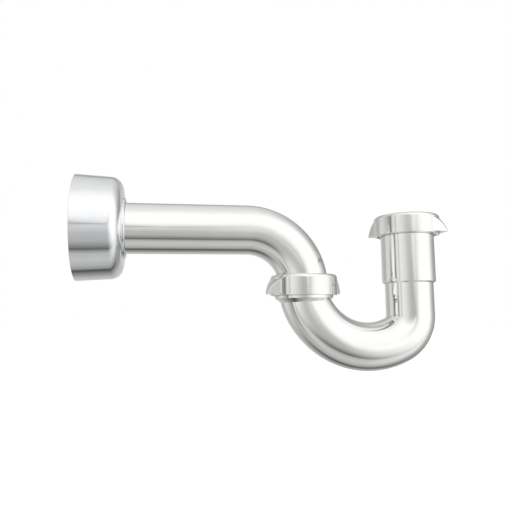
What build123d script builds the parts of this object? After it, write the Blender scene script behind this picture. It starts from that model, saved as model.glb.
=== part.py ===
"""Tubular brass P trap, 1-1/2 in. size, with a wall bend, a J-bend and a deep box escutcheon.

All lengths are millimetres. The origin is on the wall tube's axis at the finished wall.
+X leads out of the wall towards the J-bend, and +Z is up.
"""
from build123d import *
from math import atan2, cos, hypot, radians, sin
import os

# ---- drawn tube -------------------------------------------------------------------------
tube_radius = 19.05
tube_wall = 1.4
tube_bore_radius = tube_radius - tube_wall

# ---- run of the trap --------------------------------------------------------------------
outlet_x = 171.0                # wall to the axis of the outlet joint
wall_bend_radius = 45.0
wall_tube_end_z = -49.5

j_top_z = -50.5                 # the J-bend's outlet end, inside the outlet ferrule
j_lead_z = -48.0                # where the J-bend's centreline would leave the vertical
lead_bend_radius = 26.0
lead_bend_angle = 22.0
main_bend_radius = 54.6
main_bend_angle = 94.0
inlet_bend_radius = 21.5
inlet_bend_angle = 64.0
j_inlet_top_z = -34.2           # the J-bend's inlet end, inside the inlet ferrule

lead_turn = radians(lead_bend_angle)
main_turn = radians(lead_bend_angle + main_bend_angle)
joint_spacing = (
    lead_bend_radius
    + (main_bend_radius - lead_bend_radius) * cos(lead_turn)
    - (main_bend_radius - inlet_bend_radius) * cos(main_turn)
    + inlet_bend_radius
)
inlet_x = outlet_x + joint_spacing

# ---- slip joints, measured up from each ferrule's mouth -----------------------------------
outlet_mouth_z = -42.8
inlet_mouth_z = 5.15
thread_pitch = 25.4 / 11.5
thread_root_radius = 22.25
thread_crest_radius = 23.45
thread_root_width = 1.75
flank_slope = 1.155             # width lost per millimetre of height, both flanks of a 60 degree thread
thread_turns = 2.75
thread_start = -7.1             # middle of the ridge where it begins
flank_clearance = 0.21          # measured along the axis, each side
mouth_chamfer_radius = 20.6

# ---- slip nut ------------------------------------------------------------------------------
nut_radius = 26.0
nut_top = 7.6
nut_bottom = -8.3
nut_web_underside = 4.2
nut_minor_radius = 22.5
nut_relief_radius = 23.8
nut_relief_bottom = -0.3
nut_eye_radius = 21.3
nut_eye_flare = 1.2
nut_eye_flare_depth = 2.0
nut_edge_round = 2.6
wing_tip_radius = 32.4
wing_tip_round = 1.2
wing_core_radius = 25.2         # the wings' flat sides are tangent to this circle, inside the body's
wing_root_round = 8.0
wing_bottom = -7.1
wing_height = 11.4
wing_edge_bulge = 0.7           # rise of the outer edge's arc over its chord
outlet_wing_angle = 191.0
inlet_wing_angle = 140.0

# ---- washer and friction ring ---------------------------------------------------------------
washer_bore_radius = 19.85
washer_radius = 22.3
washer_bottom = 0.1
washer_top = 3.1
washer_taper_depth = 0.6
ring_bore_radius = 20.8
ring_radius = 22.4
ring_bottom = 3.2
ring_top = 4.1

# ---- ferrules -------------------------------------------------------------------------------
braze_gap = 0.05
outlet_socket_radius = 19.35
outlet_shoulder_radius = 22.6
outlet_shoulder_top = -8.6
outlet_shoulder_bottom = -10.4
outlet_skirt_radius = 18.0
outlet_skirt_bottom = -13.9
inlet_socket_radius = 19.2
inlet_sleeve_radius = 21.05
inlet_collar_bottom = -8.0
inlet_stop_top = -37.3
inlet_stop_bottom = -38.8
inlet_stop_radius = 17.9
inlet_sleeve_bottom = -46.9
inlet_sleeve_chamfer = 1.0

# ---- escutcheon -----------------------------------------------------------------------------
escutcheon_depth = 33.5
escutcheon_rim_radius = 39.0
escutcheon_front_radius = 37.3
escutcheon_sheet = 0.8
escutcheon_corner = 9.0
neck_hole_radius = 20.7
neck_lip_radius = 22.7
neck_lip_height = 1.7
neck_length = 5.7

os.makedirs("parts", exist_ok=True)


def tube_section(radius, bore_radius):
    """Ring section of a drawn tube in the sketch that is open."""
    Circle(radius)
    Circle(bore_radius, mode=Mode.SUBTRACT)


def j_centreline():
    """Centreline of the J-bend, from above the outlet end round to the inlet end."""
    with BuildLine(Plane.XZ) as centreline:
        lead = JernArc((outlet_x, j_lead_z), (0, -1), lead_bend_radius, lead_bend_angle)
        main = JernArc(lead @ 1, lead % 1, main_bend_radius, main_bend_angle)
        inlet = JernArc(main @ 1, main % 1, inlet_bend_radius, inlet_bend_angle)
        Line(inlet @ 1, (inlet_x, j_inlet_top_z))
    return centreline.wire()


def thread_solid(root_radius, crest_radius, root_width, start, turns):
    """Right-handed helical ridge of trapezoid section round Z, starting on the +X side."""
    crest_width = root_width - flank_slope * (crest_radius - root_radius)
    with BuildPart() as ridge:
        with BuildLine(Plane.XY.offset(start)) as helix:
            Helix(thread_pitch, thread_pitch * turns, root_radius)
        with BuildSketch(Plane(origin=helix.line @ 0, x_dir=(1, 0, 0), z_dir=helix.line % 0)):
            with BuildLine():
                Polyline(
                    (0, -root_width / 2),
                    (crest_radius - root_radius, -crest_width / 2),
                    (crest_radius - root_radius, crest_width / 2),
                    (0, root_width / 2),
                    close=True,
                )
            make_face()
        sweep(is_frenet=True)
    return ridge.part


def trim_outlet_end():
    """Cut the J-bend square at its outlet end."""
    with Locations((outlet_x, 0, j_top_z)):
        Cylinder(tube_radius + 3, 10, align=(Align.CENTER, Align.CENTER, Align.MIN), mode=Mode.SUBTRACT)


# ---- wall tube: straight run out of the wall, then a quarter bend down into the joint ----------
with BuildPart() as wall_tube:
    with BuildLine(Plane.XZ):
        run = Line((0, 0), (outlet_x - wall_bend_radius, 0))
        bend = JernArc(run @ 1, run % 1, wall_bend_radius, -90)
        Line(bend @ 1, (outlet_x, wall_tube_end_z))
    with BuildSketch(Plane.YZ):
        tube_section(tube_radius, tube_bore_radius)
    sweep()
    chamfer(wall_tube.faces().sort_by(Axis.Z)[0].edges(), length=0.3)

# ---- wall escutcheon: deep drawn cup whose rolled neck rides on the wall tube ------------------
with BuildPart() as wall_escutcheon:
    lip_front = escutcheon_depth + neck_lip_height
    inner_face = escutcheon_depth - escutcheon_sheet
    with BuildSketch(Plane.XZ) as cup_section:
        with BuildLine():
            Polyline(
                (0, escutcheon_rim_radius),
                (escutcheon_depth, escutcheon_front_radius),
                (escutcheon_depth, neck_lip_radius),
                (lip_front, neck_lip_radius),
                (lip_front, neck_hole_radius),
                (escutcheon_depth - neck_length, neck_hole_radius),
                (escutcheon_depth - neck_length, neck_hole_radius + escutcheon_sheet),
                (inner_face, neck_hole_radius + escutcheon_sheet),
                (inner_face, escutcheon_front_radius - escutcheon_sheet),
                (0, escutcheon_rim_radius - escutcheon_sheet),
                close=True,
            )
        make_face()
        front_corner = cup_section.vertices().sort_by_distance((escutcheon_depth, escutcheon_front_radius))[0]
        back_corner = cup_section.vertices().sort_by_distance(
            (inner_face, escutcheon_front_radius - escutcheon_sheet)
        )[0]
        lip_corners = cup_section.vertices().group_by(Axis.X)[-1]
        fillet(front_corner, escutcheon_corner)
        fillet(back_corner, escutcheon_corner - escutcheon_sheet)
        fillet(lip_corners, 0.75)
    revolve(axis=Axis.X)

# ---- J-bend: one tube bent to a long sweep, a tight turn and a straight inlet leg --------------
j_path = j_centreline()
with BuildPart() as j_bend:
    with BuildSketch(Plane(origin=(outlet_x, 0, j_lead_z), z_dir=(0, 0, -1))):
        tube_section(tube_radius, tube_bore_radius)
    sweep(path=j_path)
    trim_outlet_end()

# the tube's outside with the braze gap, to bore the outlet ferrule
with BuildPart() as j_bend_clearance:
    with BuildSketch(Plane(origin=(outlet_x, 0, j_lead_z), z_dir=(0, 0, -1))):
        Circle(tube_radius + braze_gap)
    sweep(path=j_path)
    trim_outlet_end()


def ferrule_thread():
    """Male ridge on a ferrule's collar, sunk a little into the collar."""
    sunk = 0.2
    return thread_solid(
        thread_root_radius - sunk,
        thread_crest_radius,
        thread_root_width + flank_slope * sunk,
        thread_start,
        thread_turns,
    )


def nut_thread_groove():
    """Female groove of a slip nut, in phase with the ridge and running out at both ends."""
    inside = 0.4
    return thread_solid(
        thread_root_radius - inside,
        thread_crest_radius + 0.2,
        thread_root_width + 2 * flank_clearance + flank_slope * inside,
        thread_start - 2 * thread_pitch,
        5.75,
    )


# ---- outlet ferrule: threaded collar brazed on the J-bend, with a coned skirt ------------------
with BuildPart() as outlet_ferrule_blank:
    with BuildSketch(Plane.XZ) as collar_section:
        with BuildLine():
            Polyline(
                (mouth_chamfer_radius, 0),
                (thread_root_radius, 0),
                (thread_root_radius, outlet_shoulder_top),
                (outlet_shoulder_radius, outlet_shoulder_top),
                (outlet_shoulder_radius, outlet_shoulder_bottom),
                (outlet_skirt_radius, outlet_skirt_bottom),
                (0, outlet_skirt_bottom),
                (0, j_top_z - outlet_mouth_z),
                (outlet_socket_radius, j_top_z - outlet_mouth_z),
                (outlet_socket_radius, outlet_socket_radius - mouth_chamfer_radius),
                close=True,
            )
        make_face()
    revolve(axis=Axis.Z)
    add(ferrule_thread())

with BuildPart() as outlet_ferrule:
    with Locations((outlet_x, 0, outlet_mouth_z)):
        add(outlet_ferrule_blank.part)
    add(j_bend_clearance.part, mode=Mode.SUBTRACT)

# ---- inlet ferrule: long sleeve with a threaded collar, an inside stop and a chamfered foot -----
with BuildPart() as inlet_ferrule_blank:
    with BuildSketch(Plane.XZ):
        with BuildLine():
            Polyline(
                (mouth_chamfer_radius, 0),
                (thread_root_radius, 0),
                (thread_root_radius, inlet_collar_bottom),
                (inlet_sleeve_radius, nut_bottom),
                (inlet_sleeve_radius, inlet_sleeve_bottom + inlet_sleeve_chamfer),
                (inlet_sleeve_radius - inlet_sleeve_chamfer, inlet_sleeve_bottom),
                (tube_radius + braze_gap, inlet_sleeve_bottom),
                (tube_radius + braze_gap, inlet_stop_bottom),
                (inlet_stop_radius, inlet_stop_bottom),
                (inlet_stop_radius, inlet_stop_top),
                (inlet_socket_radius, inlet_stop_top),
                (inlet_socket_radius, inlet_socket_radius - mouth_chamfer_radius),
                close=True,
            )
        make_face()
    revolve(axis=Axis.Z)
    add(ferrule_thread())

with BuildPart() as inlet_ferrule:
    with Locations((inlet_x, 0, inlet_mouth_z)):
        add(inlet_ferrule_blank.part)


# ---- slip nut: die-cast body with two wings that flare towards its open end ---------------------
with BuildPart() as nut_blank:
    with BuildSketch(Plane.XY.offset(wing_bottom)) as wing_plan:
        Circle(wing_core_radius)
        with PolarLocations(wing_tip_radius - wing_tip_round, 2):
            Circle(wing_tip_round)
        make_hull()
        Circle(nut_radius)
        wing_roots = wing_plan.vertices().filter_by(lambda v: abs(hypot(v.X, v.Y) - nut_radius) < 0.01)
        fillet(wing_roots, wing_root_round)
    extrude(amount=wing_height)
    # the wings' outer edge is a flat arc from the tip up to the body's side
    edge_slope = atan2(wing_tip_radius - nut_radius, wing_height)
    edge_middle = (
        (wing_tip_radius + nut_radius) / 2 + wing_edge_bulge * cos(edge_slope),
        wing_bottom + wing_height / 2 + wing_edge_bulge * sin(edge_slope),
    )
    wing_top = wing_bottom + wing_height
    with BuildSketch(Plane.XZ):
        with BuildLine():
            ThreePointArc((wing_tip_radius, wing_bottom), edge_middle, (nut_radius, wing_top))
            Polyline(
                (nut_radius, wing_top),
                (nut_radius, wing_top + 1),
                (wing_tip_radius + 5, wing_top + 1),
                (wing_tip_radius + 5, wing_bottom - 1),
                (wing_tip_radius, wing_bottom - 1),
                (wing_tip_radius, wing_bottom),
            )
        make_face()
    revolve(axis=Axis.Z, mode=Mode.SUBTRACT)
    with BuildSketch(Plane.XY.offset(nut_bottom)):
        Circle(nut_radius)
    extrude(amount=nut_top - nut_bottom)
    fillet(nut_blank.faces().sort_by(Axis.Z)[-1].edges(), nut_edge_round)


def slip_nut(wing_angle):
    """Slip nut with its wings at an angle, bored, and threaded in phase with the ferrule."""
    with BuildPart() as nut:
        with Locations(Rotation(0, 0, wing_angle)):
            add(nut_blank.part)
        # eye for the tube, seat for the washer, and the bore for the thread
        with BuildSketch(Plane.XZ):
            with BuildLine():
                Polyline(
                    (0, nut_top),
                    (nut_eye_radius + nut_eye_flare, nut_top),
                    (nut_eye_radius, nut_top - nut_eye_flare_depth),
                    (nut_eye_radius, nut_web_underside),
                    (nut_relief_radius, nut_web_underside),
                    (nut_relief_radius, nut_relief_bottom),
                    (nut_minor_radius, nut_relief_bottom),
                    (nut_minor_radius, nut_bottom),
                    (0, nut_bottom),
                    close=True,
                )
            make_face()
        revolve(axis=Axis.Z, mode=Mode.SUBTRACT)
        add(nut_thread_groove(), mode=Mode.SUBTRACT)
    return nut.part


def slip_washer():
    """Elastomer washer, flat on top, with a tapered nose that seats in the ferrule's mouth."""
    with BuildPart() as washer:
        with BuildSketch(Plane.XZ):
            with BuildLine():
                Polyline(
                    (washer_bore_radius, washer_top),
                    (washer_radius, washer_top),
                    (washer_radius, washer_bottom),
                    (mouth_chamfer_radius - 0.1, washer_bottom),
                    (washer_bore_radius + 0.1, washer_bottom - washer_taper_depth),
                    (washer_bore_radius, washer_bottom - washer_taper_depth),
                    close=True,
                )
            make_face()
        revolve(axis=Axis.Z)
    return washer.part


def friction_ring():
    """Flat ring that lets the nut turn without dragging the washer."""
    with BuildPart() as ring:
        with BuildSketch(Plane.XY.offset(ring_bottom)):
            Circle(ring_radius)
            Circle(ring_bore_radius, mode=Mode.SUBTRACT)
        extrude(amount=ring_top - ring_bottom)
        chamfer(ring.edges(), length=0.12)
    return ring.part


# ---- place the slip-joint pieces at each joint ---------------------------------------------------
outlet_joint = Location((outlet_x, 0, outlet_mouth_z))
inlet_joint = Location((inlet_x, 0, inlet_mouth_z))

parts = {
    "wall_tube": wall_tube.part,
    "wall_escutcheon": wall_escutcheon.part,
    "j_bend": j_bend.part,
    "outlet_ferrule": outlet_ferrule.part,
    "inlet_ferrule": inlet_ferrule.part,
    "outlet_slip_nut": slip_nut(outlet_wing_angle).moved(outlet_joint),
    "inlet_slip_nut": slip_nut(inlet_wing_angle).moved(inlet_joint),
    "outlet_washer": slip_washer().moved(outlet_joint),
    "inlet_washer": slip_washer().moved(inlet_joint),
    "outlet_friction_ring": friction_ring().moved(outlet_joint),
    "inlet_friction_ring": friction_ring().moved(inlet_joint),
}

for name, piece in parts.items():
    piece.label = name
    export_step(piece, f"parts/{name}.step")
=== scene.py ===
"""Looks of a chromed tubular P trap with a deep wall escutcheon.

Every CAD node is stood for by a smooth piece of the same shape, because bright chrome shows the least facet.
Drawing lengths are millimetres; a piece is laid down in metres, in the row frame: +X out of the wall, +Z up.
"""
import math

import bpy
import numpy as np
from mathutils import Matrix


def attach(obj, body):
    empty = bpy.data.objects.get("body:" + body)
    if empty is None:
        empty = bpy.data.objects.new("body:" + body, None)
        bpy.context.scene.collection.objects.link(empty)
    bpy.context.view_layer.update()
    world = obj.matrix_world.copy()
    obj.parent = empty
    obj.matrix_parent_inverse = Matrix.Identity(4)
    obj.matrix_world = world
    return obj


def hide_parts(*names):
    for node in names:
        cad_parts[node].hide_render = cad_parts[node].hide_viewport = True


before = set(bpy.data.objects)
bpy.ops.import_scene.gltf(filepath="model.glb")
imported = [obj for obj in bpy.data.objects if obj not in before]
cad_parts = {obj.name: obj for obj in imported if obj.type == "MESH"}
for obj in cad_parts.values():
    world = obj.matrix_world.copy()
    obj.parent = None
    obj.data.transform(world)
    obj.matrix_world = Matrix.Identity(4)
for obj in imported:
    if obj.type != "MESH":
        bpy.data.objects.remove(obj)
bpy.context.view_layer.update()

MM = 0.001
TAU = 2 * math.pi

# ---- shared sizes, in millimetres -----------------------------------------------------------
TUBE_RADIUS = 19.04             # a hair under the drawn 19.05, to stay inside the CAD box
BORE_RADIUS = 17.65
OUTLET_X = 171.0
OUTLET_MOUTH = -42.8
INLET_MOUTH = 5.15
LEAD_RADIUS, LEAD_ANGLE = 26.0, 22.0
MAIN_RADIUS, MAIN_ANGLE = 54.6, 94.0
INLET_RADIUS, INLET_ANGLE = 21.5, 64.0
J_START_Z = -48.0
J_END_Z = -34.2
J_CUT_Z = -50.5

THREAD_PITCH = 25.4 / 11.5
THREAD_ROOT = 22.25
THREAD_HEIGHT = 1.2
THREAD_HALF_WIDTH = 0.875
THREAD_FLANK = 0.5775           # half width lost per millimetre of height
THREAD_START = -7.1
THREAD_TURNS = 2.75


# ---- sections and surfaces --------------------------------------------------------------------
def section(corners, arc_points=6):
    """Closed section from corners (a, b, rounding, step).

    At each corner the two sides are cut back by rounding x tan(half the turn) and joined by a circular arc.
    The side that follows a corner is filled at spacing step, with a point 0.12 mm off each arc, so that
    flat faces shade flat right up to their rounded edges.
    """
    points = np.array([c[:2] for c in corners], float)
    out = []
    before = points - np.roll(points, 1, 0)
    after = np.roll(points, -1, 0) - points
    before /= np.linalg.norm(before, axis=1)[:, None]
    after_length = np.linalg.norm(after, axis=1)
    after /= after_length[:, None]
    turn = np.arctan2(before[:, 0] * after[:, 1] - before[:, 1] * after[:, 0], (before * after).sum(1))
    rounding = np.array([c[2] for c in corners], float)
    cut = rounding * np.tan(np.abs(turn) / 2)
    for i, corner in enumerate(corners):
        share = np.linspace(0, 1, arc_points if corner[2] else 1)
        heading = share * turn[i]
        start = points[i] - before[i] * cut[i]
        side = np.array([-before[i][1], before[i][0]]) * np.sign(turn[i])
        along = np.sin(np.abs(heading)) * rounding[i]
        across = (1 - np.cos(heading)) * rounding[i]
        out.append(start + along[:, None] * before[i] + across[:, None] * side)
        following = (i + 1) % len(corners)
        length = after_length[i] - cut[i] - cut[following]
        if length > 0.3:
            count = max(1, int(math.ceil(length / corner[3])))
            fill = np.linspace(0, length, count + 1)[1:-1]
            fill = np.unique(np.concatenate([[0.12], fill, [length - 0.12]]))
            out.append(points[i] + after[i] * (cut[i] + fill)[:, None])
    return np.concatenate(out)


def lay(name, grid, finishes, body, node, inside=None, sharp=38.0):
    """Mesh from a grid of points (rows, columns, 3) in millimetres, closed in both directions.

    Each cell is one quad between neighbouring rows and columns, the last meeting the first. The winding is
    turned where the enclosed volume (the sum of corner triple products over six) comes out negative, so faces
    look out. inside marks the rows that take the second finish. Edges that turn by more than sharp degrees
    stay crisp.
    """
    rows, columns = grid.shape[:2]
    index = np.arange(rows * columns).reshape(rows, columns)
    below = np.roll(index, -1, 0)
    quads = np.stack([index, below, np.roll(below, -1, 1), np.roll(index, -1, 1)], -1).reshape(-1, 4)
    points = grid.reshape(-1, 3) * MM
    p, q, r, s = (points[quads[:, k]] for k in range(4))
    volume = (np.einsum("ij,ij->i", p, np.cross(q, r)) + np.einsum("ij,ij->i", p, np.cross(r, s))).sum()
    if volume < 0:
        quads = quads[:, ::-1]
    mesh = bpy.data.meshes.new(name)
    mesh.vertices.add(len(points))
    mesh.vertices.foreach_set("co", points.ravel())
    mesh.loops.add(quads.size)
    mesh.loops.foreach_set("vertex_index", quads.ravel())
    mesh.polygons.add(len(quads))
    mesh.polygons.foreach_set("loop_start", np.arange(len(quads)) * 4)
    mesh.polygons.foreach_set("use_smooth", np.ones(len(quads), bool))
    for finish in finishes:
        mesh.materials.append(finish)
    if inside is not None:
        mesh.polygons.foreach_set("material_index", np.repeat(inside.astype(np.int32), columns))
    mesh.update(calc_edges=True)
    mesh.validate()
    mesh.set_sharp_from_angle(angle=math.radians(sharp))
    piece = bpy.data.objects.new(name, mesh)
    bpy.context.scene.collection.objects.link(piece)
    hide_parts(node)
    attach(piece, body)
    return piece


def turned(profile, centre, columns=180, thread=False):
    """Grid of a section (radius, level) turned about a vertical axis at centre (x, height of the mouth).

    x = centre + radius cos(angle), y = radius sin(angle). With thread, the collar's outside carries one.
    """
    angle = np.arange(columns) * TAU / columns
    radius = np.repeat(profile[:, :1], columns, 1)
    level = np.repeat(profile[:, 1:], columns, 1)
    if thread:
        radius = threaded(profile, angle, radius, level)
    return np.stack([centre[0] + radius * np.cos(angle), radius * np.sin(angle), centre[1] + level], -1)


def threaded(profile, angle, radius, level):
    """Radius with the ferrule's thread raised on the collar's outside, the rows at radius THREAD_ROOT."""
    on_collar = (np.abs(profile[:, 0] - THREAD_ROOT) < 0.01)[:, None]
    height = ridge(angle[None, :], level, THREAD_START, THREAD_TURNS, THREAD_HALF_WIDTH, THREAD_HEIGHT)
    return radius + on_collar * height


def ridge(angle, level, start, turns, half_width, height):
    """Height of a helical thread over its root cylinder at an angle (radians) and a level along the axis.

    The ridge's middle climbs one pitch a turn from start. Height is what the 60 degree flanks leave at the
    distance from the nearest turn's middle, cut off at the crest. It fades over a twelfth of a turn at each
    end.
    """
    around = angle / TAU
    nearest = np.round((level - start) / THREAD_PITCH - around)
    nearest = np.clip(nearest, 0, np.floor(turns - around))
    off = np.abs(level - start - (nearest + around) * THREAD_PITCH)
    gone = nearest + around
    fade = np.clip(np.minimum(gone, turns - gone) * 12, 0, 1)
    return np.clip((half_width - off) / THREAD_FLANK, 0, height) * fade


def path(start, heading, runs, s):
    """Position and direction in the XZ plane at arc lengths s along straight and curved runs.

    A run is (length, turn in degrees). On a curved run of radius R = length / turn the point is
    start + R (sin h - sin h0, cos h0 - cos h), h being the heading.
    """
    x = np.zeros_like(s)
    z = np.zeros_like(s)
    h = np.zeros_like(s)
    at, origin = 0.0, np.array(start, float)
    h0 = math.radians(heading)
    for number, (length, degrees) in enumerate(runs):
        turn = math.radians(degrees)
        here = (s >= at - 1e-9) if number else np.ones_like(s, bool)
        t = s - at
        if turn:
            radius = length / turn
            now = h0 + t / radius
            dx = radius * (np.sin(now) - math.sin(h0))
            dz = radius * (math.cos(h0) - np.cos(now))
            end = radius * np.array([math.sin(h0 + turn) - math.sin(h0), math.cos(h0) - math.cos(h0 + turn)])
        else:
            now = h0 + 0 * t
            dx, dz = t * math.cos(h0), t * math.sin(h0)
            end = length * np.array([math.cos(h0), math.sin(h0)])
        x = np.where(here, origin[0] + dx, x)
        z = np.where(here, origin[1] + dz, z)
        h = np.where(here, now, h)
        at, origin, h0 = at + length, origin + end, h0 + turn
    return x, z, h


def tube_along(start, heading, runs, first, last, step=1.6, columns=168):
    """Grid of a drawn tube's closed skin, outside, rim, bore and rim again, along a run of arcs and lines.

    A section point (s, r) lands at path(s) + r (cos a times the in-plane normal + sin a times Y).
    Also returns which rows lie in the bore, and each row's arc length and heading.
    """
    rim = 0.25
    outline = section([
        (first, TUBE_RADIUS, rim, step), (last, TUBE_RADIUS, rim, 1.0),
        (last, BORE_RADIUS, rim, step * 2), (first, BORE_RADIUS, rim, 1.0),
    ])
    s, radius = outline[:, :1], outline[:, 1:]
    x, z, h = path(start, heading, runs, s)
    a = np.arange(columns) * TAU / columns
    grid = np.stack([
        x - np.sin(h) * radius * np.cos(a),
        radius * np.sin(a) + 0 * x,
        z + np.cos(h) * radius * np.cos(a),
    ], -1)
    return grid, outline[:, 1] < BORE_RADIUS + 0.3, s, h


# ---- colours and finishes ----------------------------------------------------------------------
def linear(code):
    """sRGB hex code as linear RGBA: v / 12.92 below 0.04045, else ((v + 0.055) / 1.055) ** 2.4."""
    value = np.array([int(code[i:i + 2], 16) for i in (0, 2, 4)]) / 255
    value = np.where(value < 0.04045, value / 12.92, ((value + 0.055) / 1.055) ** 2.4)
    return (*value.tolist(), 1.0)


def put(tree, kind, inputs=None, **settings):
    """Add a node, set its properties, then set or link its inputs (by name or number)."""
    made = tree.nodes.new(kind)
    for key, value in settings.items():
        setattr(made, key, value)
    for key, value in (inputs or {}).items():
        if isinstance(value, bpy.types.NodeSocket):
            tree.links.new(value, made.inputs[key])
        else:
            made.inputs[key].default_value = value
    return made


def ramp(tree, factor, stops):
    """Colour ramp through (place, RGBA) stops."""
    made = put(tree, "ShaderNodeValToRGB", {"Fac": factor})
    elements = made.color_ramp.elements
    elements[0].position, elements[0].color = stops[0]
    elements[1].position, elements[1].color = stops[-1]
    for place, colour in stops[1:-1]:
        elements.new(place).color = colour
    return made.outputs["Color"]


def finish_tree(name):
    """New material's tree, its shader and a texture coordinate node's Object output (metres)."""
    material = bpy.data.materials.new(name)
    material.use_nodes = True
    tree = material.node_tree
    shader = tree.nodes["Principled BSDF"]
    return material, tree, shader, put(tree, "ShaderNodeTexCoord").outputs["Object"]


HAZE_MM, WIPE_MM, WIPE_DEPTH_MM = 14.0, 1.1, 0.0002


def plated(name, bright, dull, smooth, rough, ripple_mm, ripple_depth_mm, lines_mm=None, lines_depth_mm=0.0):
    """Bright plate: a mirror with slow ripples from drawing and buffing, a breath of haze and wipe marks.

    ripple_mm is the ripples' spacing and ripple_depth_mm their depth. lines_mm, if given, is the spacing of
    concentric tool lines up the height. smooth and rough are the least and most roughness.
    """
    material, tree, shader, place = finish_tree(name)
    haze = put(tree, "ShaderNodeTexNoise", {"Vector": place, "Scale": 1000 / HAZE_MM, "Detail": 5.0,
                                            "Roughness": 0.62})
    wipe = put(tree, "ShaderNodeTexNoise", {"Vector": place, "Scale": 1000 / WIPE_MM, "Detail": 3.0})
    both = put(tree, "ShaderNodeMath", {0: haze.outputs["Fac"], 1: wipe.outputs["Fac"]}, operation="MULTIPLY")
    gloss = put(tree, "ShaderNodeMapRange", {"Value": both.outputs[0], "From Min": 0.14, "From Max": 0.42,
                                             "To Min": smooth, "To Max": rough})
    tree.links.new(gloss.outputs[0], shader.inputs["Roughness"])
    tint = ramp(tree, haze.outputs["Fac"], [(0.3, linear(bright)), (0.75, linear(dull))])
    tree.links.new(tint, shader.inputs["Base Color"])
    shader.inputs["Metallic"].default_value = 1.0
    ripple = put(tree, "ShaderNodeTexNoise", {"Vector": place, "Scale": 1000 / ripple_mm, "Detail": 1.0})
    bump = put(tree, "ShaderNodeBump", {"Strength": 1.0, "Distance": ripple_depth_mm * MM,
                                        "Height": ripple.outputs["Fac"]})
    last = put(tree, "ShaderNodeBump", {"Strength": 1.0, "Distance": WIPE_DEPTH_MM * MM,
                                        "Height": wipe.outputs["Fac"], "Normal": bump.outputs[0]})
    if lines_mm:
        height = put(tree, "ShaderNodeSeparateXYZ", {0: place}).outputs["Z"]
        wave = put(tree, "ShaderNodeMath", {0: height, 1: TAU * 1000 / lines_mm}, operation="MULTIPLY")
        wave = put(tree, "ShaderNodeMath", {0: wave.outputs[0]}, operation="SINE")
        last = put(tree, "ShaderNodeBump", {"Strength": 1.0, "Distance": lines_depth_mm * MM,
                                            "Height": wave.outputs[0], "Normal": last.outputs[0]})
    tree.links.new(last.outputs[0], shader.inputs["Normal"])
    return material


def matt(name, light, dark, metallic, least, most, grain_mm, depth_mm):
    """Soft or dull finish: colour and roughness wander over a grain, with a shallow pitted relief."""
    material, tree, shader, place = finish_tree(name)
    blotch = put(tree, "ShaderNodeTexNoise", {"Vector": place, "Scale": 1000 / (grain_mm * 9), "Detail": 6.0})
    grain = put(tree, "ShaderNodeTexNoise", {"Vector": place, "Scale": 1000 / grain_mm, "Detail": 4.0})
    tint = ramp(tree, blotch.outputs["Fac"], [(0.32, linear(light)), (0.7, linear(dark))])
    tree.links.new(tint, shader.inputs["Base Color"])
    shader.inputs["Metallic"].default_value = metallic
    gloss = put(tree, "ShaderNodeMapRange", {"Value": grain.outputs["Fac"], "From Min": 0.3, "From Max": 0.7,
                                             "To Min": least, "To Max": most})
    tree.links.new(gloss.outputs[0], shader.inputs["Roughness"])
    bump = put(tree, "ShaderNodeBump", {"Strength": 1.0, "Distance": depth_mm * MM,
                                        "Height": grain.outputs["Fac"]})
    tree.links.new(bump.outputs[0], shader.inputs["Normal"])
    return material


# near-white mirror, a hair warm, with slow ripples along the drawn tube
chrome_tube = plated("bright_chrome_on_drawn_brass_tube", "F1F1F0", "ECECEA", 0.018, 0.05, 26.0, 0.011)
# the same plate over thin drawn sheet, cooler and wavier
chrome_sheet = plated("bright_chrome_on_deep_drawn_sheet", "EFF0F2", "E6E8EB", 0.02, 0.05, 24.0, 0.11)
# the same plate over turned brass, with fine concentric tool lines under it
chrome_turned = plated("bright_chrome_on_turned_brass", "F1F1F0", "EAEAE8", 0.02, 0.055, 22.0, 0.006,
                       lines_mm=0.34, lines_depth_mm=0.0001)
# plate over cast zinc, a little softer and more uneven
chrome_cast = plated("bright_chrome_on_die_cast_zinc", "EFEFED", "E4E4E2", 0.03, 0.075, 7.0, 0.005)
# the bore isn't plated: dull brass with a thin grey film
bare_bore = matt("unplated_brass_bore", "8F7E55", "6E6347", 1.0, 0.38, 0.6, 1.4, 0.02)
# the throw of plate is thin inside the nut, so the zinc looks grey and dry
thin_plate = matt("thin_plate_inside_cast_zinc", "A3A5A4", "83868A", 1.0, 0.28, 0.5, 0.9, 0.01)
# inside the cup the plate was never buffed, so the sheet looks satin and grey
unbuffed_plate = matt("unbuffed_plate_inside_drawn_sheet", "C4C7CA", "A6A9AD", 1.0, 0.3, 0.48, 0.8, 0.008)
# black rubber with a faint bloom
rubber = matt("moulded_black_rubber", "232322", "2F2F2D", 0.0, 0.6, 0.82, 0.5, 0.012)
# natural nylon, milky and slightly waxy
nylon = matt("natural_nylon", "DCD6C4", "CFC8B4", 0.0, 0.34, 0.5, 0.7, 0.006)


# ---- wall tube and J-bend -------------------------------------------------------------------------
WALL_BEND = 45.0                # bend radius
WALL_DROP = 49.5                # the tube's low end below its axis at the wall
WALL_START = 0.005              # a hair out from the wall's face, to stay inside the CAD box
wall_runs = [(OUTLET_X - WALL_BEND, 0), (WALL_BEND * math.pi / 2, -90), (WALL_DROP - WALL_BEND, 0)]
wall_length = sum(run[0] for run in wall_runs)
grid, in_bore, _, _ = tube_along((0, 0), 0, wall_runs, WALL_START, wall_length)
lay("wall_tube_drawn", grid, [chrome_tube, bare_bore], "wall_arm", "wall_tube", in_bore)

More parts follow.
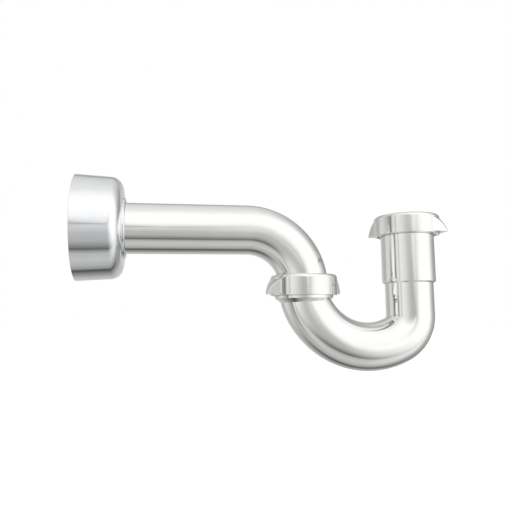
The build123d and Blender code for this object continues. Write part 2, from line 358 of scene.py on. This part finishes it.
j_runs = [
    (LEAD_RADIUS * math.radians(LEAD_ANGLE), LEAD_ANGLE),
    (MAIN_RADIUS * math.radians(MAIN_ANGLE), MAIN_ANGLE),
    (INLET_RADIUS * math.radians(INLET_ANGLE), INLET_ANGLE),
]
j_arcs = sum(run[0] for run in j_runs)
arc_end = path((OUTLET_X, J_START_Z), -90, j_runs, np.array([j_arcs]))
INLET_X = float(arc_end[0][0])
j_runs.append((J_END_Z - float(arc_end[1][0]), 0))
j_first = LEAD_RADIUS * math.asin((J_START_Z - J_CUT_Z) / LEAD_RADIUS)
grid, in_bore, s, h = tube_along((OUTLET_X, J_START_Z), -90, j_runs, j_first, j_arcs + j_runs[-1][0])
# the outlet end is cut square to the joint: slide its first rings along the tube on to the cut
CUT_REACH = 9.0                 # how far along the tube the slide fades out
near = np.clip(1 - (s - j_first) / CUT_REACH, 0, 1) ** 2
end_row = grid[np.argmin(s[:, 0])]
slide = (J_CUT_Z - end_row[None, :, 2]) * near
grid[..., 0] += slide * np.cos(h) / np.sin(h)
grid[..., 2] += slide
lay("j_bend_drawn", grid, [chrome_tube, bare_bore], "trap", "j_bend", in_bore)


# ---- ferrules ------------------------------------------------------------------------------------
FINE = THREAD_PITCH / 16        # row spacing over a thread
SEAT_RADIUS = 20.6              # where the washer's seat meets the mouth's flat
BORE_ROWS = 19.9                # rows inside this radius line a ferrule's bore
SLEEVE_RADIUS, SLEEVE_END, SLEEVE_BEVEL = 21.05, -46.9, 1.0
SLEEVE_BORE, BRAZED_BORE = 19.2, 19.1
STOP_BORE, STOP_TOP, STOP_BOTTOM = 17.9, -37.3, -38.8

inlet_profile = section([
    (SEAT_RADIUS, 0.0, 0.15, 1.0), (THREAD_ROOT, 0.0, 0.0, FINE), (THREAD_ROOT, -8.0, 0.0, 0.4),
    (SLEEVE_RADIUS, -8.3, 0.1, 1.5), (SLEEVE_RADIUS, SLEEVE_END + SLEEVE_BEVEL, 0.25, 0.5),
    (SLEEVE_RADIUS - SLEEVE_BEVEL, SLEEVE_END, 0.15, 0.5), (BRAZED_BORE, SLEEVE_END, 0.1, 2.0),
    (BRAZED_BORE, STOP_BOTTOM, 0.0, 1.0), (STOP_BORE, STOP_BOTTOM, 0.15, 1.0),
    (STOP_BORE, STOP_TOP, 0.15, 1.0), (SLEEVE_BORE, STOP_TOP, 0.0, 2.0), (SLEEVE_BORE, -1.4, 0.3, 0.5),
])
lay("inlet_ferrule_turned", turned(inlet_profile, (INLET_X, INLET_MOUTH), thread=True),
    [chrome_turned, bare_bore], "trap", "inlet_ferrule", inlet_profile[:, 0] < BORE_ROWS)


SOCKET_RADIUS = 19.35
SOCKET_END = J_CUT_Z - OUTLET_MOUTH
SHOULDER_RADIUS, SHOULDER_TOP = 22.6, -8.6
SKIRT_FOOT, SKIRT_TOP, SKIRT_END = 18.0, -10.4, -13.9
THINNEST = 0.03                 # the skirt ends where less than this is left of it


def outlet_ferrule_grid(columns=180):
    """Collar with a coned skirt, cut where the skirt meets the curved tube.

    The tube's outside, with its braze gap, is a torus round (x + lead radius, start of the bend): in a
    direction a from the joint's axis its radius r solves (hypot(R - r cos a, z) - R)^2 + (r sin a)^2 = gap
    radius^2, found by halving. Each column's skirt ends where the cone and that radius are equal.
    Also returns which rows lie in the bore.
    """
    gap_radius = TUBE_RADIUS + 0.05
    angle = np.arange(columns) * TAU / columns
    bend_level = J_START_Z - OUTLET_MOUTH

    def bore(level):
        """Radius of the gap round the tube at a level, in every column's direction."""
        low = np.full(np.broadcast(level, angle).shape, 12.0)
        high = low + 14.0
        for _ in range(40):
            middle = (low + high) / 2
            across = np.hypot(LEAD_RADIUS - middle * np.cos(angle), level - bend_level) - LEAD_RADIUS
            outside = across ** 2 + (middle * np.sin(angle)) ** 2 > gap_radius ** 2
            high = np.where(outside, middle, high)
            low = np.where(outside, low, middle)
        return (low + high) / 2

    def cone(level):
        """Radius of the coned skirt at a level: it falls steadily from the shoulder to the foot."""
        slope = (SHOULDER_RADIUS - SKIRT_FOOT) / (SKIRT_TOP - SKIRT_END)
        return SHOULDER_RADIUS + (level - SKIRT_TOP) * slope

    levels = np.linspace(SKIRT_TOP, SKIRT_END, 261)[:, None]
    open_below = cone(levels) - bore(levels) < THINNEST
    meeting = np.where(open_below.any(0), levels[open_below.argmax(0), 0], SKIRT_END)
    top = section([
        (SOCKET_RADIUS, SOCKET_END, 0.0, 1.0), (SOCKET_RADIUS, -1.25, 0.3, 0.5),
        (SEAT_RADIUS, 0.0, 0.15, 1.0), (THREAD_ROOT, 0.0, 0.0, FINE), (THREAD_ROOT, SHOULDER_TOP, 0.0, 0.2),
        (SHOULDER_RADIUS, SHOULDER_TOP, 0.1, 0.4), (SHOULDER_RADIUS, SKIRT_TOP, 0.0, 1.0),
        (21.0, SOCKET_END, 0.0, 1.0),
    ])
    # the last side of that outline only closes it; the skirt and the bore take its place
    keep = len(top) - 1
    while abs(top[keep - 1, 1] - SKIRT_TOP) > 1e-6:
        keep -= 1
    top = top[:keep]
    level = np.repeat(top[:, 1:], columns, 1)
    radius = threaded(top, angle, np.repeat(top[:, :1], columns, 1), level)
    down = np.array([0.06, 0.25, 0.5, 0.75, 0.93, 1.0])[:, None]
    skirt_level = SKIRT_TOP + (meeting - SKIRT_TOP) * down
    up = np.array([0.03, 0.1, 0.3, 0.5, 0.7, 0.9, 1.0])[:, None]
    bore_level = meeting + (SOCKET_END - meeting) * up
    radius = np.concatenate([radius, cone(skirt_level), bore(bore_level)])
    level = np.concatenate([level, skirt_level, bore_level])
    grid = np.stack([OUTLET_X + radius * np.cos(angle), radius * np.sin(angle), OUTLET_MOUTH + level], -1)
    # the skirt's last row starts the bore
    in_bore = [top[:, 0] < BORE_ROWS, np.zeros(len(down) - 1, bool), np.ones(len(up) + 1, bool)]
    return grid, np.concatenate(in_bore)


grid, in_bore = outlet_ferrule_grid()
lay("outlet_ferrule_turned", grid, [chrome_turned, bare_bore], "trap", "outlet_ferrule",
    in_bore)


# ---- slip nuts ---------------------------------------------------------------------------------------
NUT_RADIUS = 26.0
NUT_TOP, NUT_BOTTOM = 7.6, -8.3
NUT_FILLET = 2.6
WING_TIP, WING_ROUND = 32.4, 1.2
WING_REACH = WING_TIP - WING_ROUND
WING_CORE = 25.2                # the wings' flat sides are tangent to this circle
WING_BOTTOM, WING_TOP = -7.1, 4.3
WING_BULGE = 0.7
FACET_ANGLE = math.acos((WING_CORE - WING_ROUND) / WING_REACH)
TIP_ANGLE = math.atan2(WING_ROUND * math.sin(FACET_ANGLE), WING_REACH + WING_ROUND * math.cos(FACET_ANGLE))
ROOT_ANGLE = FACET_ANGLE - math.acos(WING_CORE / NUT_RADIUS)
EDGE_EASE, ROOT_EASE = 0.55, 0.3

NUT_BORE, NUT_MOUTH = 22.5, 22.8
NUT_EYE, EYE_TOP = 21.3, 5.6
RELIEF_RADIUS, RELIEF_TOP, RELIEF_BOTTOM = 23.8, 4.2, -0.3
GROOVE_SIDE_GAP, GROOVE_DEPTH = 0.21, 1.4
NUT_RIM, WING_RIM = 0.5, 0.3    # roundings of the open end and of the wings' undersides


def edge_limit(level):
    """Radius of the wings' outer edge at a level: a flat arc from the tip up to the body's side.

    The arc's radius is (chord^2 / 4 + bulge^2) / (2 bulge), and its centre lies that far less the bulge from
    the chord's middle, towards the axis and down.
    """
    out, up = WING_TIP - NUT_RADIUS, WING_TOP - WING_BOTTOM
    chord = math.hypot(out, up)
    arc = (chord ** 2 / 4 + WING_BULGE ** 2) / (2 * WING_BULGE)
    centre_radius = (WING_TIP + NUT_RADIUS) / 2 - (arc - WING_BULGE) * up / chord
    centre_level = (WING_TOP + WING_BOTTOM) / 2 - (arc - WING_BULGE) * out / chord
    return centre_radius + np.sqrt(arc ** 2 - (np.clip(level, WING_BOTTOM, WING_TOP) - centre_level) ** 2)


def eased_least(a, b, ease):
    """Smooth minimum: the lesser of a and b, rounded over where they are within ease of each other."""
    h = np.clip(0.5 + 0.5 * (a - b) / ease, 0, 1)
    return a + (b - a) * h - ease * h * (1 - h)


def wing_outline(off, level):
    """Radius of the nut's outside at an angle off its wing (0 to a half turn) and a level.

    The plan is the small tip circle's arc, then a flat side WING_CORE / cos(FACET_ANGLE - angle), then a
    hollow root, then the body's circle. It is held within the outer edge's arc, with the corner between them
    eased.
    """
    off = np.abs(off)
    tip = WING_REACH * np.cos(off) + np.sqrt(np.maximum(WING_ROUND ** 2 - (WING_REACH * np.sin(off)) ** 2, 0))
    facet = WING_CORE / np.cos(np.clip(FACET_ANGLE - off, 0, FACET_ANGLE))
    wing = eased_least(edge_limit(level), np.where(off < TIP_ANGLE, tip, facet), EDGE_EASE)
    return np.maximum(NUT_RADIUS, -eased_least(-wing, -NUT_RADIUS, ROOT_EASE))


def crease_angle(level):
    """Angle off the wing at which its flat side meets its outer edge, kept off both ends of the side."""
    crease = FACET_ANGLE - np.arccos(np.clip(WING_CORE / edge_limit(level), -1, 1))
    return np.clip(crease, TIP_ANGLE, ROOT_ANGLE - math.radians(4))


def nut_grid(joint, wing_angle):
    """Grid of a winged slip nut: columns follow the wings' creases, rows run up outside and down the bore.

    Column angles are a + b x crease angle, so that whole columns lie along each flat side, each outer edge
    and the plain arcs between the wings. The bore carries the thread's groove, which runs out at the open
    end. Also returns which rows lie inside.
    """
    outer = ROOT_ANGLE + math.radians(3.5)
    facet = np.array([0, 0.07, 0.13, 0.19, 0.26, 0.36, 0.5, 0.64, 0.77, 0.87, 0.94, 0.975])
    edge = np.array([1, 0.97, 0.92, 0.84, 0.7, 0.52, 0.34, 0.17])
    half_a = np.concatenate([outer * (1 - facet), 0 * edge])
    half_b = np.concatenate([facet, edge])
    plain = np.linspace(-outer, -math.pi + outer, 62)[1:-1]
    wing_a = np.concatenate([half_a, [0], -half_a[::-1], plain])
    wing_b = np.concatenate([half_b, [0], -half_b[::-1], 0 * plain])
    column_a = np.concatenate([wing_a, wing_a - math.pi])
    column_b = np.concatenate([wing_b, wing_b])
    turn = np.repeat([0, math.pi], len(wing_a))

    quarter = np.linspace(0, math.pi / 2, 6)
    relaxed = math.radians(12)
    fillet_start = NUT_TOP - NUT_FILLET

    def outside(level, inset, crease):
        """Column angles and outside radius, less an inset on the wings, at each level's crease angle."""
        angle = column_a + column_b * crease[:, None]
        return angle, np.maximum(NUT_RADIUS, wing_outline(angle + turn, level[:, None]) - inset[:, None])

    # the body below the wings
    level = NUT_BOTTOM + NUT_RIM * (1 - np.cos(quarter))
    level = np.concatenate([level, [NUT_BOTTOM + NUT_RIM + 0.12, WING_BOTTOM - 0.1]])
    foot_radius = np.concatenate([NUT_RADIUS - NUT_RIM * (1 - np.sin(quarter)), [NUT_RADIUS] * 2])[:, None]
    foot_angle = np.repeat((column_a + column_b * TIP_ANGLE)[None, :], len(level), 0)
    foot_radius = foot_radius + 0 * foot_angle
    foot_level = level[:, None] + 0 * foot_angle
    # the wings' undersides, from the body out; on the plain arcs these rows are close steps up the side
    share = np.array([0, 0.04, 0.35, 0.7, 0.96])[:, None]
    under_rows = len(share)
    under = (WING_BOTTOM, WING_RIM, TIP_ANGLE)
    under_angle, reach = outside(*(np.full(under_rows, value) for value in under))
    under_radius = NUT_RADIUS + (reach - NUT_RADIUS) * share
    plainness = np.clip(1 - (reach - NUT_RADIUS), 0, 1)
    under_level = WING_BOTTOM - plainness * np.linspace(0.08, 0.01, under_rows)[:, None]
    # up the wings and the rest of the body's side
    level = np.concatenate([
        WING_BOTTOM + WING_RIM * (1 - np.cos(quarter)),
        np.linspace(WING_BOTTOM + WING_RIM, WING_TOP, 40)[1:],
        np.linspace(WING_TOP, fillet_start, 4)[1:],
    ])
    inset = np.concatenate([WING_RIM * (1 - np.sin(quarter)), 0 * level[len(quarter):]])
    blend = np.clip((level - WING_TOP) / (fillet_start - WING_TOP), 0, 1)
    side_angle, side_radius = outside(level, inset, crease_angle(level) * (1 - blend) + relaxed * blend)
    side_level = level[:, None] + 0 * side_angle

    inner = section([
        (21.0, NUT_BOTTOM, 0.0, 1.0), (NUT_RADIUS, NUT_BOTTOM, 0.0, 5.0),
        (NUT_RADIUS, NUT_TOP, NUT_FILLET, 0.6), (NUT_BORE, NUT_TOP, 0.25, 0.6), (NUT_EYE, EYE_TOP, 0.3, 0.6),
        (NUT_EYE, RELIEF_TOP, 0.15, 0.6), (RELIEF_RADIUS, RELIEF_TOP, 0.2, 0.8),
        (RELIEF_RADIUS, RELIEF_BOTTOM, 0.2, 0.4), (NUT_BORE, RELIEF_BOTTOM, 0.0, FINE),
        (NUT_BORE, NUT_BOTTOM + 0.3, 0.0, 0.2), (NUT_MOUTH, NUT_BOTTOM, 0, 1),
    ], 9)
    # keep the part from the top's rounding round to the open end's mouth
    begin = np.argmax((inner[:, 1] > fillet_start + 0.01) & (inner[:, 0] < NUT_RADIUS - 0.001))
    stop = len(inner) - np.argmax((inner[::-1, 0] > NUT_MOUTH - 0.01) & (inner[::-1, 1] < NUT_BOTTOM + 0.01))
    inner = inner[begin:stop]
    inner_angle = np.repeat((column_a + column_b * relaxed)[None, :], len(inner), 0)
    inner_radius = np.repeat(inner[:, :1], len(column_a), 1)
    inner_level = np.repeat(inner[:, 1:], len(column_a), 1)
    # the groove runs two turns below the ferrule's thread and one above it, in the joint's frame
    joint_angle = np.mod(inner_angle + math.radians(wing_angle), TAU)
    groove = THREAD_ROOT + ridge(joint_angle, inner_level, THREAD_START - 2 * THREAD_PITCH, THREAD_TURNS + 3,
                                 THREAD_HALF_WIDTH + GROOVE_SIDE_GAP, GROOVE_DEPTH)
    in_bore = (inner[:, 0] < NUT_MOUTH + 0.01) & (inner[:, 1] < RELIEF_BOTTOM + 0.1)
    inner_radius = np.where(in_bore[:, None], np.maximum(inner_radius, groove), inner_radius)
    # rows across the open end's flat face, from the bore back to the outside
    share = np.array([0.08, 0.5, 0.94])[:, None]
    face_angle = inner_angle[-1] + (foot_angle[0] - inner_angle[-1]) * share
    face_radius = inner_radius[-1] + (foot_radius[0] - inner_radius[-1]) * share
    face_level = np.full_like(face_radius, NUT_BOTTOM)

    angle = np.concatenate([foot_angle, under_angle, side_angle, inner_angle, face_angle])
    angle = angle + math.radians(wing_angle)
    radius = np.concatenate([foot_radius, under_radius, side_radius, inner_radius, face_radius])
    level = np.concatenate([foot_level, under_level, side_level, inner_level, face_level])
    inner_end = len(radius) - len(face_level)
    inside = np.zeros(len(radius), bool)
    inside[inner_end - len(inner) + int(np.argmax(inner[:, 0] < NUT_EYE + 0.01)):inner_end - 1] = True
    x, mouth = joint
    return np.stack([x + radius * np.cos(angle), radius * np.sin(angle), mouth + level], -1), inside


WASHER_BORE, WASHER_RADIUS, WASHER_TOP, WASHER_BOTTOM = 19.85, 22.3, 3.1, 0.1
CONE_RADIUS, CONE_BOTTOM = 20.5, -0.5
RING_BORE, RING_RADIUS, RING_TOP, RING_BOTTOM = 20.8, 22.4, 4.1, 3.2

for side, joint, wing_angle in (
    ("outlet", (OUTLET_X, OUTLET_MOUTH), 191.0),
    ("inlet", (INLET_X, INLET_MOUTH), 140.0),
):
    grid, inside = nut_grid(joint, wing_angle)
    lay(f"{side}_nut_cast", grid, [chrome_cast, thin_plate], f"{side}_nut", f"{side}_slip_nut",
        inside, sharp=32.0)
    washer = section([
        (WASHER_BORE, WASHER_TOP, 0.15, 0.8), (WASHER_RADIUS, WASHER_TOP, 0.15, 0.8),
        (WASHER_RADIUS, WASHER_BOTTOM, 0.15, 0.8), (CONE_RADIUS, WASHER_BOTTOM, 0.1, 0.5),
        (WASHER_BORE + 0.1, CONE_BOTTOM, 0.05, 0.5), (WASHER_BORE, CONE_BOTTOM, 0.03, 0.8),
    ])
    lay(f"{side}_washer_moulded", turned(washer, joint, 120), [rubber], "trap",
        f"{side}_washer")
    ring = section([
        (RING_BORE, RING_TOP, 0.12, 0.5), (RING_RADIUS, RING_TOP, 0.12, 0.5),
        (RING_RADIUS, RING_BOTTOM, 0.12, 0.5), (RING_BORE, RING_BOTTOM, 0.12, 0.5),
    ])
    lay(f"{side}_ring_stamped", turned(ring, joint, 120), [nylon], f"{side}_ring",
        f"{side}_friction_ring")


# ---- escutcheon -------------------------------------------------------------------------------------
CUP_RIM, CUP_FRONT, CUP_DEPTH, CUP_CORNER = 39.0, 37.3, 33.5, 9.0
SHEET = 0.8
LIP_RADIUS, LIP_DEPTH, LIP_ROUND = 22.7, 35.2, 0.75
NECK_RADIUS, NECK_END = 20.7, 27.8


def cup_grid(columns=220):
    """Closed section of the drawn cup (distance from the wall, radius) turned about the wall tube's axis.

    Also returns which rows lie inside, counted from the neck's inner end.
    """
    cup = section([
        (0.0, CUP_RIM, 0.3, 1.2), (CUP_DEPTH, CUP_FRONT, CUP_CORNER, 1.2), (CUP_DEPTH, LIP_RADIUS, 0.25, 0.6),
        (LIP_DEPTH, LIP_RADIUS, LIP_ROUND, 0.45), (LIP_DEPTH, NECK_RADIUS, LIP_ROUND, 0.8),
        (NECK_END, NECK_RADIUS, 0.2, 0.5), (NECK_END, NECK_RADIUS + SHEET, 0.2, 0.8),
        (CUP_DEPTH - SHEET, NECK_RADIUS + SHEET, 0.3, 1.2),
        (CUP_DEPTH - SHEET, CUP_FRONT - SHEET, CUP_CORNER - SHEET, 1.2), (0.0, CUP_RIM - SHEET, 0.3, 0.5),
    ], 12)
    a = np.arange(columns) * TAU / columns
    radius = cup[:, 1:]
    at_neck = (cup[:, 0] < NECK_END + 0.3) & (np.abs(cup[:, 1] - NECK_RADIUS - SHEET) < 0.2)
    inside = np.arange(len(cup)) >= np.argmax(at_neck)
    return np.stack([cup[:, :1] + 0 * a, radius * np.cos(a), radius * np.sin(a)], -1), inside


grid, inside = cup_grid()
lay("wall_escutcheon_drawn", grid, [chrome_sheet, unbuffed_plate], "escutcheon",
    "wall_escutcheon", inside)


# ---- floor --------------------------------------------------------------------------------------------
def floor_piece(half_width=6.0, drop=-0.34):
    """One flat quad under the object, lit from within a little so that it stays as pale as the room."""
    material = bpy.data.materials.new("pale_matt_studio_floor")
    material.use_nodes = True
    shader = material.node_tree.nodes["Principled BSDF"]
    shader.inputs["Base Color"].default_value = linear("F4F4F2")
    shader.inputs["Roughness"].default_value = 0.9
    shader.inputs["Emission Color"].default_value = linear("FFFFFF")
    shader.inputs["Emission Strength"].default_value = 0.5
    mesh = bpy.data.meshes.new("studio_floor")
    w = half_width
    mesh.from_pydata([(-w, -w, drop), (w, -w, drop), (w, w, drop), (-w, w, drop)], [], [(0, 1, 2, 3)])
    mesh.materials.append(material)
    floor = bpy.data.objects.new("studio_floor", mesh)
    bpy.context.scene.collection.objects.link(floor)
    floor.visible_glossy = False


floor_piece()


# ---- studio: what the chrome mirrors ----------------------------------------------------------------
PLATE_REFLECTS = 0.87
WARMTH = 0.988                  # blue against red and green


def band_stops(bands):
    """Ramp stops from (degrees, brightness as an sRGB grey), degrees -180 to 180 laid on 0 to 1.

    The brightness is made up for what bright plate takes away, and turned a little warm.
    """
    stops = []
    for degrees, grey in bands:
        value = ((grey + 0.055) / 1.055) ** 2.4 / PLATE_REFLECTS
        stops.append(((degrees + 180) / 360, (value, value, value * WARMTH, 1.0)))
    return stops


LEVEL_GUARD = 0.0005            # keeps the mix steady where a direction neither rises nor turns aside


def studio():
    """World of soft panels, read by direction.

    Over and under: the angle round X, 0 towards the camera and 90 straight up. Side to side: the angle round
    Z, 0 towards the camera and 90 towards +X. The two are mixed by how far the direction rises against how
    far it turns aside. The camera itself sees plain white.
    """
    world = bpy.data.worlds.new("soft_studio")
    bpy.context.scene.world = world
    world.use_nodes = True
    tree = world.node_tree
    background = tree.nodes["Background"]
    direction = put(tree, "ShaderNodeTexCoord").outputs["Generated"]
    axes = put(tree, "ShaderNodeSeparateXYZ", {0: direction}).outputs
    front = put(tree, "ShaderNodeMath", {0: axes["Y"], 1: -1.0}, operation="MULTIPLY").outputs[0]

    def spread(part, bands):
        """Brightness by the angle from the front towards one axis: atan2(that axis's part, front part)."""
        angle = put(tree, "ShaderNodeMath", {0: part, 1: front}, operation="ARCTAN2").outputs[0]
        place = put(tree, "ShaderNodeMapRange", {"Value": angle, "From Min": -math.pi, "From Max": math.pi})
        return ramp(tree, place.outputs[0], band_stops(bands))

    over = spread(axes["Z"], [
        (-180, 0.78), (-147, 0.72), (-124, 0.50), (-113, 0.28), (-107, 0.58), (-95, 0.70), (-80, 0.76),
        (-66, 0.73), (-59, 0.60), (-54, 0.38), (-49, 0.52), (-36, 0.69), (-20, 0.73), (-8, 0.82), (5, 0.92),
        (17, 1.0), (45, 1.06), (66, 0.99), (82, 0.92), (110, 0.86), (129, 0.80), (139, 0.62), (152, 0.72),
        (180, 0.78),
    ])
    aside = spread(axes["X"], [
        (-180, 0.78), (-151, 0.68), (-138, 0.72), (-129, 0.84), (-113, 0.83), (-99, 0.74), (-87, 0.62),
        (-82, 0.44), (-77, 0.78), (-71, 0.92), (-66, 0.78), (-57, 0.92), (-40, 0.86), (-26, 0.76),
        (-15, 0.70), (0, 0.71), (5, 0.80), (13, 0.92), (20, 0.99), (50, 1.06), (76, 0.99), (85, 0.88),
        (98, 0.72), (113, 0.63), (133, 0.54), (148, 0.74), (180, 0.78),
    ])
    rise = put(tree, "ShaderNodeMath", {0: axes["Z"], 1: 2.0}, operation="POWER").outputs[0]
    side = put(tree, "ShaderNodeMath", {0: axes["X"], 1: 2.0}, operation="POWER").outputs[0]
    total = put(tree, "ShaderNodeMath", {0: rise, 1: side}, operation="ADD").outputs[0]
    total = put(tree, "ShaderNodeMath", {0: total, 1: LEVEL_GUARD}, operation="ADD").outputs[0]
    share = put(tree, "ShaderNodeMath", {0: rise, 1: total}, operation="DIVIDE").outputs[0]
    panels = put(tree, "ShaderNodeMix", {0: share, 6: aside, 7: over}, data_type="RGBA").outputs[2]
    seen = put(tree, "ShaderNodeLightPath").outputs["Is Camera Ray"]
    white = (1.0, 1.0, 1.0, 1.0)
    shown = put(tree, "ShaderNodeMix", {0: seen, 6: panels, 7: white}, data_type="RGBA").outputs[2]
    tree.links.new(shown, background.inputs["Color"])


def soft_light(name, location, size, watts):
    """Square area light that faces the object's middle. It isn't mirrored: the world holds the panels."""
    lamp = bpy.data.lights.new(name, "AREA")
    lamp.size = size
    lamp.energy = watts
    light = bpy.data.objects.new(name, lamp)
    bpy.context.scene.collection.objects.link(light)
    light.location = location
    aim = np.array([0.14, 0.0, -0.04]) - np.array(location)
    forward = aim / np.linalg.norm(aim)
    right = np.cross(forward, (0, 1, 0.01))
    right /= np.linalg.norm(right)
    up = np.cross(right, forward)
    facing = Matrix(np.stack([right, up, -forward], 1).tolist()).to_4x4()
    light.matrix_world = Matrix.Translation(location) @ facing
    light.visible_glossy = False


studio()
soft_light("overhead_panel", (0.14, -0.25, 0.9), 1.1, 9.0)
soft_light("left_panel", (-0.7, -0.7, 0.35), 0.8, 3.0)


# ---- camera -------------------------------------------------------------------------------------------
def camera(location, yaw, pitch, roll, lens):
    """Camera at location whose axes are Rz(yaw) Rx(pitch) Ry(roll), looking along +Y when all three are 0."""
    data = bpy.data.cameras.new("camera")
    data.sensor_width = 36.0
    data.lens = lens
    data.clip_start, data.clip_end = 0.01, 50.0
    made = bpy.data.objects.new("camera", data)
    bpy.context.scene.collection.objects.link(made)
    axes = Matrix.Rotation(math.radians(yaw), 3, "Z") @ Matrix.Rotation(math.radians(pitch), 3, "X")
    axes = axes @ Matrix.Rotation(math.radians(roll), 3, "Y")
    right, forward, up = (axes.col[i] for i in range(3))
    turned_axes = Matrix((right, up, -forward)).transposed().to_4x4()
    made.matrix_world = Matrix.Translation(location) @ turned_axes
    bpy.context.scene.camera = made


camera(location=(0.05914, -0.39792, -0.06310), yaw=-10.569, pitch=6.052, roll=0.851, lens=36.965)
bpy.context.scene.view_settings.view_transform = "Standard"
